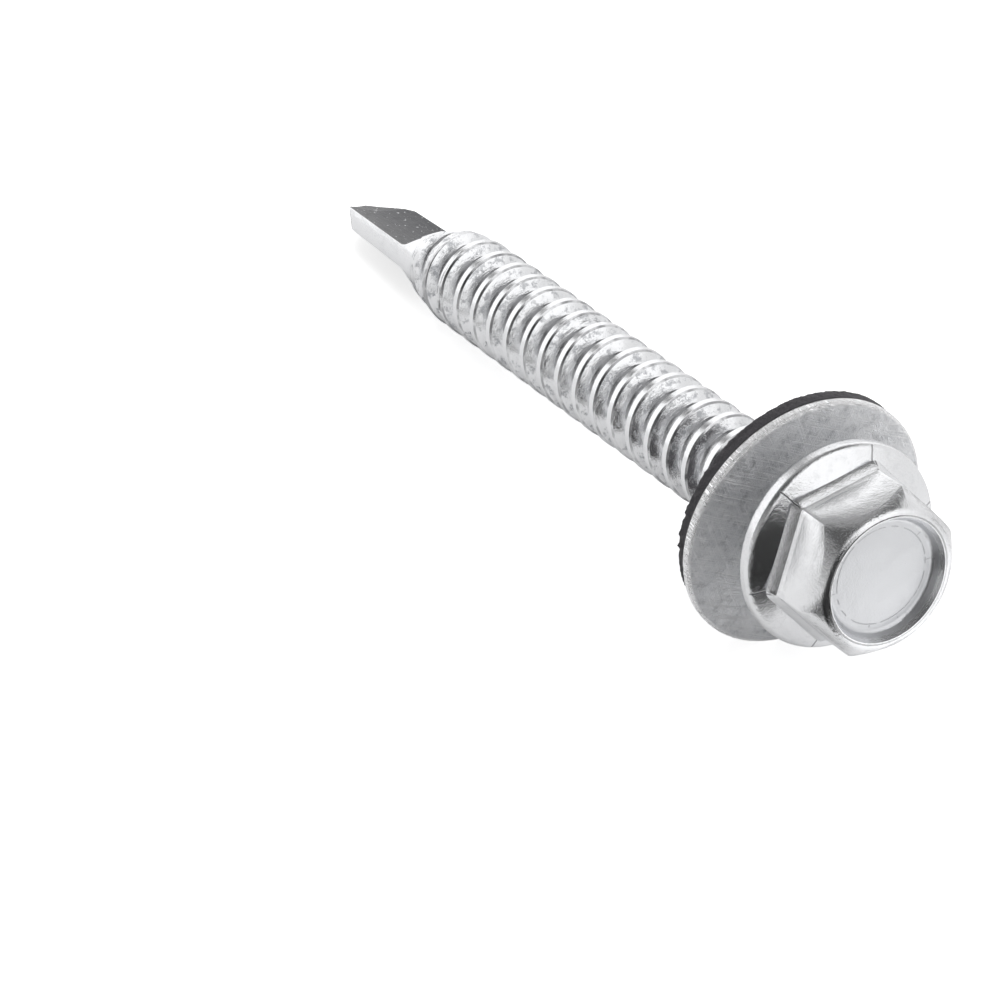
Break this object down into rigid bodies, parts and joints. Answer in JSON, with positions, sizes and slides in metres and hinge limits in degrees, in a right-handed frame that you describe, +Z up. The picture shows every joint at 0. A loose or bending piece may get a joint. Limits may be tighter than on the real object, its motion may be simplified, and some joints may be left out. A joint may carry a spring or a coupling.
{
  "type": "self-drilling hex flange head screw with sealing washer",
  "caption": "Self-drilling screw with hex flange head, coarse thread, drill point and a loose steel washer with a bonded rubber seal.",
  "frame": {"origin": "on the floor, under the middle of the bounding box of the lying screw and its washer", "axes": "+X along the screw from its drill point towards its head, level; +Z up; the screw's own axis leans nose down in the XZ plane"},
  "size_m": [0.053, 0.0138, 0.0139],
  "materials": {
    "zinc_steel": "bright zinc plated",
    "zinc_disc": "satin zinc plated",
    "seal_rubber": "matte black rubber"
  },
  "bodies": {
    "screw": {"screw": "zinc_steel"},
    "washer": {"steel_washer": "zinc_disc", "rubber_seal": "seal_rubber"}
  },
  "joints": [
    {"name": "washer_turn", "type": "hinge", "parent": "screw", "child": "washer", "pos_m": [0.01756, 0, 0.00695], "axis": [1, 0, 0], "continuous": true}
  ]
}
